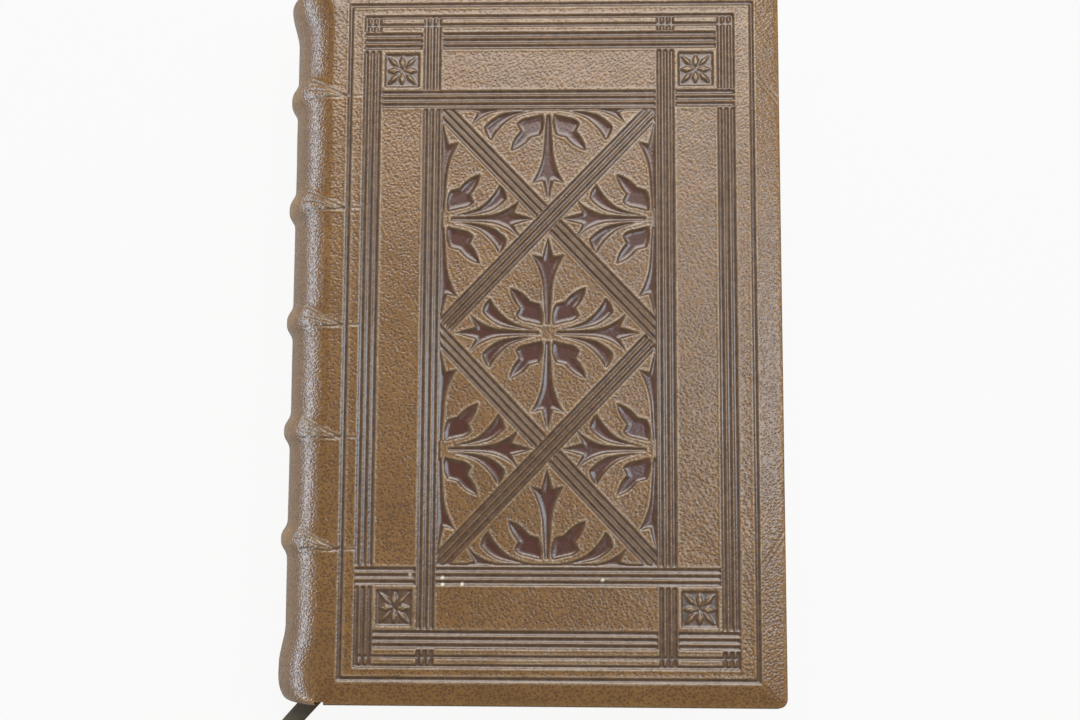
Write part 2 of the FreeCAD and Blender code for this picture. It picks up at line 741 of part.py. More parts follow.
# Boards, their leather, the slips of the cords that are let into them, and the pastedowns.
cover_pieces = []
board_top = -size("leather_thick")
board_bottom = board_top - size("board_thick")
for side in ("front", "back"):
    front = side == "front"
    slips = new_body(f"{side}_lacing_slips")
    slip_sketch = new_sketch(slips, "XY_Plane", f"{side}_slip_outline")
    slip_end = size("joint_gap") + size("slip_length")
    for band in BANDS:
        way = 1.0 if front else -1.0
        middle = (band - size("band_slant") / 2.0) * way
        tip = (band - size("band_slant")) * way
        draw_outline(slip_sketch, [
            (size("joint_gap"), middle - size("slip_width") / 2.0),
            (slip_end, tip - size("slip_tip") / 2.0),
            (slip_end, tip + size("slip_tip") / 2.0),
            (size("joint_gap"), middle + size("slip_width") / 2.0)])
    bind(slip_sketch, {"AttachmentOffset.Base.z": board_top})
    document.recompute()
    pad(slips, slip_sketch, size("slip_depth"), reversed_way=True)
    seat_cover(slips, front)

    board_form = cover_form(f"{side}_board_form", size("leather_thick"), board_top, board_bottom,
                            front)
    board = cut(f"{side}_board", board_form, [slips])

    pastedown = new_body(f"{side}_pastedown")
    paste_sketch = new_sketch(pastedown, "XY_Plane", f"{side}_pastedown_outline")
    paste_end = half_height - size("turn_in_width")
    draw_rectangle(paste_sketch, size("joint_gap"), size("cover_width") - size("turn_in_width"),
                   -paste_end, paste_end)
    bind(paste_sketch, {"AttachmentOffset.Base.z": board_bottom})
    document.recompute()
    pad(pastedown, paste_sketch, size("turn_in_thick"), reversed_way=True)
    seat_cover(pastedown, front)

    skin_form = cover_form(f"{side}_leather_form", ZERO, ZERO, -cover_thick, front)
    stamps = tool_bodies + [panel_tools] + flowers if front else [back_frame_line]
    leather = cut(f"{side}_leather", skin_form, [board_form, pastedown] + stamps)
    cover_pieces += [slips, board, pastedown, leather]

document.recompute()

# Every piece is checked before it is written.
pieces = [text_block, spine_lining, spine_leather, ribbon_marker]
pieces += cords + end_bands + free_endpapers + cover_pieces
for item in document.Objects:
    if "Invalid" in item.State or "Error" in item.State:
        raise ValueError(f"{item.Label} failed")
os.makedirs("parts", exist_ok=True)
for piece in pieces:
    shape = piece.Shape
    if shape.isNull() or not shape.isValid() or not shape.Solids:
        raise ValueError(f"{piece.Label} has no valid solid")
    print(f"{piece.Label}: {len(shape.Solids)} solid, {shape.Volume:.1f} mm3")
    shape.exportStep(f"parts/{piece.Label}.step")
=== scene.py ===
import json
import math

import bmesh
import bpy
import numpy as np
from mathutils import Euler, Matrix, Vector


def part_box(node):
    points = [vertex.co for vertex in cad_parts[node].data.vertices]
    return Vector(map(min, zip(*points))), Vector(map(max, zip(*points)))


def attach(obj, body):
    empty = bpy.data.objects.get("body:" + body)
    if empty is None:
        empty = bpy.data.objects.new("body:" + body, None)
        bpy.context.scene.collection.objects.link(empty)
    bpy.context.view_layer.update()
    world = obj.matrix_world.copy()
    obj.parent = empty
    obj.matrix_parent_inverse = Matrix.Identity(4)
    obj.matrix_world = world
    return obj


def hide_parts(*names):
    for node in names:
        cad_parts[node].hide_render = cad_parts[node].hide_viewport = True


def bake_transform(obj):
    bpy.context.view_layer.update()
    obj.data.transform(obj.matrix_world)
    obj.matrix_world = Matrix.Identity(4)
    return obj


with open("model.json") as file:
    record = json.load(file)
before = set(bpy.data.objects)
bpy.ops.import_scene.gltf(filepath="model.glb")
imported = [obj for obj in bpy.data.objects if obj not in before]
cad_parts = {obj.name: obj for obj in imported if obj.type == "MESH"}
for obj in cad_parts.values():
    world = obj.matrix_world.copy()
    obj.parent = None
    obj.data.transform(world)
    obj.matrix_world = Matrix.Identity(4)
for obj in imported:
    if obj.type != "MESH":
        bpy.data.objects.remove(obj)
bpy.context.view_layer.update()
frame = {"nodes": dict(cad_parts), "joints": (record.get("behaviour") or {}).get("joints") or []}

# Camera, daylight and table. The book lies on a pale table, seen from straight above and a
# little from the tail, by light from a large window beyond its head and from two smaller ones at
# its sides. The table's top lies just below the book, so that no face lies in it.
MM = 0.001
scene = bpy.context.scene
scene.view_settings.view_transform = "Standard"


def place_item(name, data, spot, turn):
    """An object at a place in millimetres, turned by degrees."""
    item = bpy.data.objects.new(name, data)
    item.location = [value * MM for value in spot]
    item.rotation_euler = Euler([math.radians(value) for value in turn])
    scene.collection.objects.link(item)
    return item


lens = bpy.data.cameras.new("book_camera")
lens.sensor_width = 36.0
lens.lens = 50.0
lens.clip_start = 0.01
CAMERA_SPOT, CAMERA_TURN = (16.25, -53.31, 422.32), (6.879, 1.861, 0.263)
scene.camera = place_item("book_camera", lens, CAMERA_SPOT, CAMERA_TURN)


def tone(red, green, blue):
    """A colour as it looks on paper, 0 to 255, in the linear light that materials use."""
    light = []
    for value in (red, green, blue):
        share = value / 255.0
        light.append(share / 12.92 if share < 0.04045 else ((share + 0.055) / 1.055) ** 2.4)
    return (*light, 1.0)


def soft_window(name, spot, aim, sides, power, colour):
    """A window's light, from its place towards its aim in millimetres, in watts."""
    lamp = bpy.data.lights.new(name, "AREA")
    lamp.shape = "RECTANGLE"
    lamp.size, lamp.size_y = (side * MM for side in sides)
    lamp.energy = power
    lamp.color = colour
    item = place_item(name, lamp, spot, (0, 0, 0))
    item.rotation_euler = (Vector(aim) - Vector(spot)).to_track_quat("-Z", "Y").to_euler()
    return item


soft_window("head_window", (30, 590, 790), (0, 30, 30), (760, 640), 7.0, (1.0, 0.99, 0.97))
soft_window("fore_window", (430, 60, 760), (66, 0, 38), (200, 760), 2.4, (0.68, 0.86, 1.0))
soft_window("spine_window", (-560, 0, 45), (-50, 0, 28), (620, 80), 1.35, (0.68, 0.83, 1.0))


def add_node(tree, kind, feeds=None, **settings):
    """A node with its settings, and its inputs as numbers, colours or other nodes' sockets."""
    made = tree.nodes.new(kind)
    for key, value in settings.items():
        setattr(made, key, value)
    for key, value in (feeds or {}).items():
        if isinstance(value, bpy.types.NodeSocket):
            tree.links.new(value, made.inputs[key])
        else:
            made.inputs[key].default_value = value
    return made


def new_material(name):
    material = bpy.data.materials.new(name)
    material.use_nodes = True
    material.node_tree.nodes.clear()
    return material, material.node_tree


ROOM_LIGHT, TABLE_GLOW = 0.24, 0.92
TABLE_REACH, TABLE_LEVEL = 2.5, -0.45 * MM
world = bpy.data.worlds.new("pale_room")
scene.world = world
world.use_nodes = True
sky = world.node_tree
sky.nodes.clear()
room_light = add_node(sky, "ShaderNodeBackground", {"Color": (1.0, 0.99, 0.97, 1.0),
                                                    "Strength": ROOM_LIGHT})
white_room = add_node(sky, "ShaderNodeBackground", {"Color": (1.0, 1.0, 1.0, 1.0), "Strength": 1.0})
rays = add_node(sky, "ShaderNodeLightPath")
shown = add_node(sky, "ShaderNodeMixShader", {0: rays.outputs["Is Camera Ray"],
                                              1: room_light.outputs[0], 2: white_room.outputs[0]})
add_node(sky, "ShaderNodeOutputWorld", {0: shown.outputs[0]})

table_top = bpy.data.meshes.new("table_top")
corners = [(-1, -1), (1, -1), (1, 1), (-1, 1)]
table_top.from_pydata([(x * TABLE_REACH, y * TABLE_REACH, TABLE_LEVEL) for x, y in corners],
                      [], [(0, 1, 2, 3)])
table = bpy.data.objects.new("table_top", table_top)
scene.collection.objects.link(table)
paper, tree = new_material("table_paper")
matt = add_node(tree, "ShaderNodeBsdfDiffuse", {"Color": (0.5, 0.5, 0.5, 1.0)})
lit = add_node(tree, "ShaderNodeEmission", {"Color": (1.0, 1.0, 0.995, 1.0), "Strength": 1.0})
seen = add_node(tree, "ShaderNodeLightPath").outputs["Is Camera Ray"]
share = add_node(tree, "ShaderNodeMath", {0: seen, 1: TABLE_GLOW}, operation="MULTIPLY")
both = add_node(tree, "ShaderNodeMixShader", {0: share.outputs[0], 1: matt.outputs[0], 2: lit.outputs[0]})
add_node(tree, "ShaderNodeOutputMaterial", {0: both.outputs[0]})
table_top.materials.append(paper)

# Ribbon marker: a narrow woven silk ribbon, glued to the back of the pages and left hanging out
# of the tail. It runs down from the pages to the table and ends in a cut end.
joint_x = next(joint for joint in frame["joints"] if joint["name"] == "front_joint")["pos_m"][0] / MM
RIBBON_HEADING = 226.2
RIBBON_START = (joint_x, -90.0)
RIBBON_WIDE = 4.6
RIBBON_THICK = 0.3
RIBBON_ROUTE = [(0.0, 16.0), (13.5, 15.6), (28.0, 0.35), (45.5, 0.35)]
heading = Vector((math.cos(math.radians(RIBBON_HEADING)), math.sin(math.radians(RIBBON_HEADING)), 0))
across_ribbon = Vector((-heading.y, heading.x, 0))
route = bpy.data.curves.new("ribbon_route", "CURVE")
route.dimensions = "3D"
route.resolution_u = 48
spline = route.splines.new("NURBS")
spline.points.add(len(RIBBON_ROUTE) - 1)
for point, (along, height) in zip(spline.points, RIBBON_ROUTE):
    spot = Vector((*RIBBON_START, height)) + heading * along
    point.co = (*(spot * MM), 1.0)
spline.order_u = 3
spline.use_endpoint_u = True
route_item = bpy.data.objects.new("ribbon_route", route)
scene.collection.objects.link(route_item)
bpy.context.view_layer.update()
traced = bpy.data.meshes.new_from_object(route_item)
ribbon_line = [vertex.co.copy() for vertex in traced.vertices]
bpy.data.objects.remove(route_item)
bpy.data.meshes.remove(traced)


def finished_mesh(name, points, faces):
    """A smooth object of points in metres, placed in its mesh."""
    mesh = bpy.data.meshes.new(name)
    mesh.from_pydata(points, [], faces)
    mesh.polygons.foreach_set("use_smooth", [True] * len(mesh.polygons))
    item = bpy.data.objects.new(name, mesh)
    scene.collection.objects.link(item)
    return item


RIBBON_SECTION = [(-1.0, -0.3), (-0.92, -0.5), (0.92, -0.5), (1.0, -0.3), (1.0, 0.3), (0.92, 0.5),
                  (0.45, 0.42), (0.0, 0.36), (-0.45, 0.42), (-0.92, 0.5), (-1.0, 0.3)]
points = []
for index, spot in enumerate(ribbon_line):
    before = ribbon_line[max(index - 1, 0)]
    after = ribbon_line[min(index + 1, len(ribbon_line) - 1)]
    upward = across_ribbon.cross(after - before).normalized()
    if upward.z < 0:
        upward.negate()
    for side, rise in RIBBON_SECTION:
        points.append(spot + across_ribbon * (side * RIBBON_WIDE / 2 * MM)
                      + upward * (rise * RIBBON_THICK * MM))
ring = len(RIBBON_SECTION)
faces = [tuple(range(ring)), tuple(range(len(points) - 1, len(points) - ring - 1, -1))]
for row in range(len(ribbon_line) - 1):
    for corner in range(ring):
        following = (corner + 1) % ring
        faces.append((row * ring + corner, (row + 1) * ring + corner,
                      (row + 1) * ring + following, row * ring + following))
ribbon = finished_mesh("ribbon_marker_silk", points, faces)
turned = bmesh.new()
turned.from_mesh(ribbon.data)
bmesh.ops.recalc_face_normals(turned, faces=turned.faces)
turned.to_mesh(ribbon.data)
turned.free()


def two_tones(tree, factor, dark_end, dark, light_end, light):
    """A colour between a dark one and a light one, as the factor goes from end to end."""
    made = add_node(tree, "ShaderNodeValToRGB", {0: factor})
    ramp = made.color_ramp.elements
    ramp[0].position, ramp[0].color = dark_end, tone(*dark)
    ramp[1].position, ramp[1].color = light_end, tone(*light)
    return made.outputs["Color"]


silk, tree = new_material("worn_silk_ribbon")
spots = add_node(tree, "ShaderNodeTexCoord").outputs["Object"]
turned_spots = add_node(tree, "ShaderNodeMapping", {
    "Vector": spots, "Rotation": (0, 0, -math.radians(RIBBON_HEADING))})
ribs = add_node(tree, "ShaderNodeTexWave", {"Vector": turned_spots.outputs[0], "Scale": 950.0,
                                            "Distortion": 0.6, "Detail": 1.0}, bands_direction="X")
threads = add_node(tree, "ShaderNodeTexWave", {"Vector": turned_spots.outputs[0], "Scale": 1500.0,
                                               "Distortion": 0.3}, bands_direction="Y")
worn = add_node(tree, "ShaderNodeTexNoise", {"Vector": spots, "Scale": 180.0, "Detail": 3.0})
colour = two_tones(tree, worn.outputs["Fac"], 0.3, (66, 52, 30), 0.75, (110, 88, 54))
weave = add_node(tree, "ShaderNodeMath", {0: ribs.outputs["Fac"], 1: threads.outputs["Fac"]},
                 operation="ADD")
bump = add_node(tree, "ShaderNodeBump", {"Strength": 0.5, "Distance": 0.00008,
                                         "Height": weave.outputs[0]})
skin = add_node(tree, "ShaderNodeBsdfPrincipled", {
    "Base Color": colour, "Roughness": 0.55, "Sheen Weight": 0.3,
    "Normal": bump.outputs[0]})
add_node(tree, "ShaderNodeOutputMaterial", {0: skin.outputs[0]})
ribbon.data.materials.append(silk)
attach(ribbon, "book_block")
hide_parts("ribbon_marker")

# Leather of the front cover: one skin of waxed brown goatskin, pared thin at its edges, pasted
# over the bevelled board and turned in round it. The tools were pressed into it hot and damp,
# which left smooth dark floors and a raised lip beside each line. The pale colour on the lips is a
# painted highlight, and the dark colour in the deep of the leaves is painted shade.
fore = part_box("front_leather")[1].x / MM - joint_x
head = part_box("front_leather")[1].y / MM
face_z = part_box("front_leather")[1].z / MM
COVER_THICK, RIM_ROUND, CORNER_ROUND = 4.2, 0.35, 2.6
JOINT_SEAM = 1.2
TOOL_U, TOOL_DEEP = 57.75, 0.35
STRAP_HALF, RIDGE_FAR, GROOVE_HALF = 2.2, 1.1, 0.55
STRAP_CLEAR = 2.6
OUTER, INNER, BORDER, PANEL = 46.7, 30.8, 78.3, 62.4
SINGLE_LINES, LINE_HALF = (82.6, 84.9), 0.4
STRAP_END = SINGLE_LINES[1] + LINE_HALF
PANEL_WIDE, PANEL_HIGH = INNER - STRAP_HALF, PANEL - STRAP_HALF
PANEL_LINE_IN, PANEL_LINE_HALF, TRIM_IN, SPRAY_IN = 0.7, 0.25, 0.6, 0.9
GROOVES = ((-STRAP_HALF, -RIDGE_FAR), (-GROOVE_HALF, GROOVE_HALF), (RIDGE_FAR, STRAP_HALF))


def box_corners(left, right, low, high):
    return [(left, low), (right, low), (right, high), (left, high)]


def strap_marks():
    """The outlines of the strapwork's grooves. The other half is the same after half a turn."""
    marks = []
    for across, low_dive, high_dive in ((-OUTER, -PANEL, BORDER), (-INNER, -BORDER, PANEL)):
        for near, far in GROOVES:
            for low, high in ((-STRAP_END, low_dive - STRAP_CLEAR),
                              (low_dive + STRAP_CLEAR, high_dive - STRAP_CLEAR),
                              (high_dive + STRAP_CLEAR, STRAP_END)):
                marks.append(box_corners(across + near, across + far, low, high))
    runs = ((BORDER, (-OUTER - STRAP_HALF, -INNER - STRAP_CLEAR),
             (STRAP_CLEAR - INNER, OUTER - STRAP_CLEAR)),
            (PANEL, (STRAP_CLEAR - OUTER, INNER - STRAP_CLEAR),
             (INNER + STRAP_CLEAR, OUTER + STRAP_HALF)))
    for along, *spans in runs:
        for near, far in GROOVES:
            for left, right in spans:
                marks.append(box_corners(left, right, along + near, along + far))
    for line in SINGLE_LINES:
        marks.append(box_corners(-OUTER - STRAP_HALF, OUTER + STRAP_HALF,
                                 line - LINE_HALF, line + LINE_HALF))
    return marks + [[(-x, -y) for x, y in mark] for mark in marks]


def lozenge_marks():
    """The grooves of the lozenge straps. The one that falls to the right dives at the crossing."""
    marks = []
    slope = PANEL_HIGH / (PANEL_WIDE * 2)
    steep = math.hypot(slope, 1)
    gap = STRAP_CLEAR * steep
    half = PANEL_HIGH / 2
    for near, far in GROOVES:
        rises = [near * steep, far * steep]
        starts = [(-PANEL_WIDE, PANEL_HIGH + rise) for rise in rises]
        before = [((rise - gap) / (slope * 2), half + (rise + gap) / 2) for rise in rises]
        after = [((rise + gap) / (slope * 2), half + (rise - gap) / 2) for rise in rises]
        ends = [(PANEL_WIDE, rise) for rise in rises]
        feet = [((gap - rise - PANEL_HIGH) / (slope * 2), (rise + gap) / 2) for rise in rises]
        heads = [(PANEL_WIDE, PANEL_HIGH + rise) for rise in rises]
        marks += [[starts[0], before[0], before[1], starts[1]], [after[0], ends[0], ends[1], after[1]],
                  [feet[0], heads[0], heads[1], feet[1]]]
    return marks + [[(-x, -y) for x, y in mark] for mark in marks]


UP_SPEAR = [(0.45, 2.3), (1.0, 10.5, -20.0), (4.1, 20.5), (1.35, 19.8), (0.0, 25.0),
            (-1.35, 19.8), (-4.1, 20.5, -20.0), (-1.0, 10.5), (-0.45, 2.3)]
SIDE_SPEAR = [(2.3, -0.35), (11.7, -0.8, -14.0), (20.2, -4.9), (18.5, -1.5), (23.7, 0.0),
              (18.5, 1.5), (20.2, 4.9, -14.0), (11.7, 0.8), (2.3, 0.35)]
WING = [(3.6, 1.0, 30.0), (12.4, 2.1, 12.0), (16.8, 5.4, 5.0), (15.0, 9.0, -16.0), (9.7, 2.9, -20.0)]
IVY_LEAF = [(1.5, 2.1), (5.2, 3.0, 4.0), (8.2, 4.6), (7.2, 6.6, 9.0), (9.8, 11.8, 9.0), (4.6, 8.2),
            (2.2, 7.6, 7.0)]
ARC_STEPS = 7


def traced_outline(corners):
    """A closed outline as straight runs. A corner's third number is the radius of the arc after it."""
    line = []
    for index, corner in enumerate(corners):
        start = np.array(corner[:2])
        end = np.array(corners[(index + 1) % len(corners)][:2])
        line.append(start)
        if len(corner) == 2:
            continue
        chord = end - start
        long = np.hypot(*chord)
        turn = 1 if corner[2] > 0 else -1
        sideways = np.array((-chord[1], chord[0])) / long
        centre = (start + end) / 2 + sideways * math.sqrt(corner[2] ** 2 - long ** 2 / 4) * turn
        opening = 2 * math.asin(long / 2 / abs(corner[2])) * turn
        for step in range(1, ARC_STEPS):
            angle = opening * step / ARC_STEPS
            spoke = start - centre
            line.append(centre + np.array((spoke[0] * math.cos(angle) - spoke[1] * math.sin(angle),
                                           spoke[0] * math.sin(angle) + spoke[1] * math.cos(angle))))
    return [tuple(point) for point in line]


def leaf_marks():
    """The spray's leaves, at the middle of each lozenge and half lozenge."""
    spray = []
    for leaf in (UP_SPEAR, SIDE_SPEAR):
        outline = traced_outline(leaf)
        spray += [outline, [(-x, -y) for x, y in outline]]
    for leaf in (WING, IVY_LEAF):
        outline = traced_outline(leaf)
        spray += [[(x * right, y * up) for x, y in outline] for right in (1, -1) for up in (1, -1)]
    centres = [(0, 0), (0, PANEL_HIGH), (0, -PANEL_HIGH)]
    centres += [((PANEL_WIDE - SPRAY_IN) * right, PANEL_HIGH / 2 * up)
                for right in (1, -1) for up in (1, -1)]
    return [[(x + left, y + low) for x, y in outline] for left, low in centres for outline in spray]


FLOWER_HALF = 4.55
PETALS = 8
STRAIGHT_PETAL, SLANTED_PETAL = (3.8, 0.75, 0.6, 2.1), (5.2, 0.5, 1.3, 2.9)


def petal_marks():
    """The flower's petals: long, half width, root and belly by turns of two kinds."""
    petals = []
    for step in range(PETALS):
        angle = math.radians(360 / PETALS * step)
        long, wide, root, belly = SLANTED_PETAL if step % 2 else STRAIGHT_PETAL
        shape = [(root, 0), (belly, wide), (long, 0), (belly, -wide)]
        petals.append([(x * math.cos(angle) - y * math.sin(angle),
                        x * math.sin(angle) + y * math.cos(angle)) for x, y in shape])
    return petals


def edge_distance(across, along, outline):
    """The distance of every point to an outline, below zero inside it."""
    nearest = np.full(across.shape, np.inf)
    inside = np.zeros(across.shape, bool)
    for (ax, ay), (bx, by) in zip(outline, outline[1:] + outline[:1]):
        dx, dy = bx - ax, by - ay
        share = np.clip(((across - ax) * dx + (along - ay) * dy) / (dx * dx + dy * dy + 1e-12), 0, 1)
        nearest = np.minimum(nearest, np.hypot(across - ax - share * dx, along - ay - share * dy))
        if dy:
            inside ^= ((ay > along) != (by > along)) & (across < ax + (along - ay) * dx / dy)
    return np.where(inside, -nearest, nearest)


MARK_REACH, FAR_OFF = 1.6, 9.0


def near_window(across, along, outline):
    """The part of the grid round an outline, as a pair of slices."""
    shape = np.array(outline)
    low, high = shape.min(0) - MARK_REACH, shape.max(0) + MARK_REACH
    columns = np.searchsorted(across[0], (low[0], high[0]))
    rows = np.searchsorted(along[:, 0], (low[1], high[1]))
    return slice(rows[0], rows[1]), slice(columns[0], columns[1])


def tool_fields(across, along):
    """The distance to the nearest line or flower, and to the nearest leaf, below zero inside it."""
    lines = np.full(across.shape, FAR_OFF)
    leaves = np.full(across.shape, FAR_OFF)
    panel = np.maximum(np.abs(across) - PANEL_WIDE, np.abs(along) - PANEL_HIGH)
    for field, marks, trimmed in ((lines, strap_marks(), False), (lines, lozenge_marks(), True),
                                  (leaves, leaf_marks(), True)):
        for mark in marks:
            room = near_window(across, along, mark)
            if across[room].size == 0:
                continue
            found = edge_distance(across[room], along[room], mark)
            if trimmed:
                found = np.maximum(found, panel[room] + TRIM_IN)
            field[room] = np.minimum(field[room], found)
    lines = np.minimum(lines, np.abs(panel + PANEL_LINE_IN) - PANEL_LINE_HALF)
    for right in (1, -1):
        for up in (1, -1):
            x, y = (OUTER + INNER) / 2 * right, (BORDER + PANEL) / 2 * up
            square = box_corners(x - FLOWER_HALF, x + FLOWER_HALF, y - FLOWER_HALF, y + FLOWER_HALF)
            room = near_window(across, along, square)
            found = edge_distance(across[room], along[room], square)
            for petal in petal_marks():
                raised = edge_distance(across[room] - x, along[room] - y, petal)
                found = np.maximum(found, -raised)
            lines[room] = np.minimum(lines[room], found)
    return lines, leaves


def ease(value):
    """A soft step from 0 to 1."""
    value = np.clip(value, 0, 1)
    return value * value * (3 - 2 * value)


CELLS, GRID_START = 256, 300


def uneven(across, along, pitch, seed):
    """A soft unevenness between -1 and 1, from random heights on a coarse grid."""
    heights = np.random.default_rng(seed).uniform(-1, 1, (CELLS, CELLS))
    column, row = (across + GRID_START) / pitch, (along + GRID_START) / pitch
    left, low = np.floor(column).astype(int), np.floor(row).astype(int)
    right, up = ease(column - left), ease(row - low)
    left, low = left % (CELLS - 1), low % (CELLS - 1)
    lower = heights[low, left] * (1 - right) + heights[low, left + 1] * right
    upper = heights[low + 1, left] * (1 - right) + heights[low + 1, left + 1] * right
    return lower * (1 - up) + upper * up


def crease(across, along, start, end, wide, deep):
    """A blind line pressed along a straight run, fading at both ends."""
    dx, dy = end[0] - start[0], end[1] - start[1]
    share = ((across - start[0]) * dx + (along - start[1]) * dy) / (dx * dx + dy * dy)
    inside = np.clip(share, 0, 1)
    off = np.hypot(across - start[0] - inside * dx, along - start[1] - inside * dy)
    return -deep * np.exp(-(off / wide) ** 2)


BAND_CROWNS = (-53.1, -24.4, 4.8, 35.8, 66.1)
BAND_TIPS = (-55.7, -27.0, 2.2, 33.2, 63.5)
TIP_U, SPREAD_U = 4.6, -7.0
TIP_SPREAD, BAND_SPREAD = 0.1, 2.5
RIDGE_HIGH, RIDGE_FADE, RIDGE_START = 0.45, 6.0, 4.5
DASH_U, DASH_HALF = 7.3, 1.4
TAIL_HALF, TAIL_PALE = 0.14, 0.12


def band_line(reach_u, crown, tip):
    """Where the middle of a band runs as it crosses the joint, and how wide its lines spread.
    reach_u is the way from the joint line, below zero on the spine."""
    share = np.clip((TIP_U - reach_u) / (TIP_U - SPREAD_U), 0, 1.2)
    return tip + (crown - tip) * ease(share), BAND_SPREAD * share + TIP_SPREAD


def band_ridge(reach_u, along):
    """The raised bands die out over the joint."""
    height = np.zeros(reach_u.shape)
    for crown, tip in zip(BAND_CROWNS, BAND_TIPS):
        middle, spread = band_line(reach_u, crown, tip)
        rise = ease((TIP_U - reach_u) / RIDGE_FADE) * ease((reach_u + RIDGE_START) / RIDGE_START)
        height += RIDGE_HIGH * rise * np.exp(-((along - middle) / (spread * 0.75)) ** 2)
    return height


def tail_distance(reach_u, along):
    """The distance to the blind lines beside each band: three that meet in a tip, and a dash."""
    nearest = np.full(reach_u.shape, FAR_OFF)
    past = np.maximum(np.maximum(reach_u - TIP_U, SPREAD_U - reach_u), 0)
    for crown, tip in zip(BAND_CROWNS, BAND_TIPS):
        middle, spread = band_line(reach_u, crown, tip)
        for side in (-1, 0, 1):
            beside = np.hypot(along - middle - side * spread, past * 0.5)
            nearest = np.minimum(nearest, beside - TAIL_HALF)
        dash = np.hypot(along - tip, np.maximum(np.abs(reach_u - DASH_U) - DASH_HALF, 0))
        nearest = np.minimum(nearest, dash - TAIL_HALF)
    return nearest


LIP_HIGH, LIP_PLACE, LIP_WIDE = 0.11, 0.36, 0.24
WALL_TOP, WALL_WIDE = 0.14, 0.46


def pressed(distance):
    """The floor and the raised lip that a hot tool leaves."""
    lip = LIP_HIGH * np.exp(-((distance - LIP_PLACE) / LIP_WIDE) ** 2)
    return lip - TOOL_DEEP * ease((WALL_TOP - distance) / WALL_WIDE)


GRAIN_SLANT = math.radians(28)
WAVES = ((0.07, 19, 3), (0.035, 6, 5))
PEBBLE_LONG, PEBBLE_WIDE, PEBBLE_HIGH, PEBBLE_ROUND = 1.25, 0.85, 0.06, 0.4
FIRST_PEBBLE = 400


def skin_texture(across, along):
    """The unevenness of the hide, in waves of two sizes, and its grain of slanted pebbles."""
    height = sum(high * uneven(across, along, pitch, seed) for high, pitch, seed in WAVES)
    cosine, sine = math.cos(GRAIN_SLANT), math.sin(GRAIN_SLANT)
    long = (across * cosine + along * sine) / PEBBLE_LONG + FIRST_PEBBLE
    wide = (along * cosine - across * sine) / PEBBLE_WIDE + FIRST_PEBBLE
    shifts = np.random.default_rng(11).uniform(0.1, 0.9, (CELLS, CELLS, 2))
    nearest = np.full(across.shape, FAR_OFF)
    second = nearest.copy()
    for right in (-1, 0, 1):
        for up in (-1, 0, 1):
            column, row = np.floor(long).astype(int) + right, np.floor(wide).astype(int) + up
            shift = shifts[row % CELLS, column % CELLS]
            far = np.hypot(column + shift[..., 0] - long, row + shift[..., 1] - wide)
            second = np.minimum(second, np.maximum(nearest, far))
            nearest = np.minimum(nearest, far)
    return height + PEBBLE_HIGH * (ease((second - nearest) / PEBBLE_ROUND) - 1)


FRAME_JOINT, FRAME_FORE, FRAME_END, FRAME_HALF = 5.2, 111.2, 88.2, 0.5
BEVEL_WIDE, BEVEL_DROP, BEVEL_SOFT = 6.4, 1.1, 0.05
ARRIS_WIDE, ARRIS_DROP = 0.7, 0.28
LEAF_SINK, SMOOTHED, SMOOTH_TOP, SMOOTH_WIDE = 0.16, 0.8, 0.1, 0.3
MITRES = (((FRAME_FORE, FRAME_END), (fore - 0.6, head - 0.6)), ((4.7, FRAME_END), (0.9, head - 0.4)))
MITRE_WIDE, MITRE_DEEP = 0.32, 0.13
EDGE_CREASES = (((112, 68), (119, 59.5)), ((111.7, -60), (118.3, -50.5)), ((29.5, -90), (35, -94.2)),
                ((87.5, -89), (80, -94)), ((29.5, 90), (35, 94.2)), ((87.5, 89), (80, 94)))
CREASE_GAP, CREASE_WIDE, CREASE_DEEP = 1.5, 0.26, 0.1


def cover_height(across, along, distance, hollow, tooled):
    """How far the leather stands above the flat of the cover, in millimetres."""
    slope = BEVEL_DROP / BEVEL_WIDE
    fall = np.minimum((fore - BEVEL_WIDE - across) * slope, (head - BEVEL_WIDE - np.abs(along)) * slope)
    height = (fall - np.sqrt(fall * fall + BEVEL_SOFT * BEVEL_SOFT * 4)) / 2 + BEVEL_SOFT
    outline = np.minimum(fore - across, head - np.abs(along))
    height -= ARRIS_DROP * np.exp(-(outline / ARRIS_WIDE) ** 2)
    height += pressed(distance) - LEAF_SINK * hollow
    height += skin_texture(across, along) * (1 - SMOOTHED * ease((SMOOTH_TOP - distance) / SMOOTH_WIDE))
    if tooled:
        height += band_ridge(across, along)
    for up in (1, -1):
        for (start_u, start_y), (end_u, end_y) in MITRES:
            height += crease(across, along, (start_u, start_y * up), (end_u, end_y * up),
                             MITRE_WIDE, MITRE_DEEP)
    if tooled:
        for (start_u, start_y), (end_u, end_y) in EDGE_CREASES:
            for shift in (0, CREASE_GAP):
                height += crease(across, along, (start_u + shift, start_y), (end_u + shift, end_y),
                                 CREASE_WIDE, CREASE_DEEP)
    return height


def grid_normals(spots):
    """Smooth normals of a grid of points, so that two pieces of one skin meet without a seam."""
    rows = np.gradient(spots, axis=0)
    columns = np.gradient(spots, axis=1)
    normals = np.cross(columns, rows)
    return normals / np.linalg.norm(normals, axis=2, keepdims=True)


def grid_piece(name, spots, normals, marks, flip=False):
    """A skin from a grid of points in millimetres, with its marks as attributes."""
    high, wide = spots.shape[:2]
    number = np.arange(high * wide).reshape(high, wide)
    faces = np.stack([number[:-1, :-1], number[:-1, 1:], number[1:, 1:], number[1:, :-1]], axis=2)
    if flip:
        faces = faces[:, :, ::-1]
        normals = -normals
    item = finished_mesh(name, (spots.reshape(-1, 3) * MM).tolist(), faces.reshape(-1, 4).tolist())
    for key, values in marks.items():
        layer = item.data.attributes.new(key, "FLOAT", "POINT")
        layer.data.foreach_set("value", values.reshape(-1).astype(np.float32))
    item.data.normals_split_custom_set_from_vertices(normals.reshape(-1, 3).tolist())
    return item


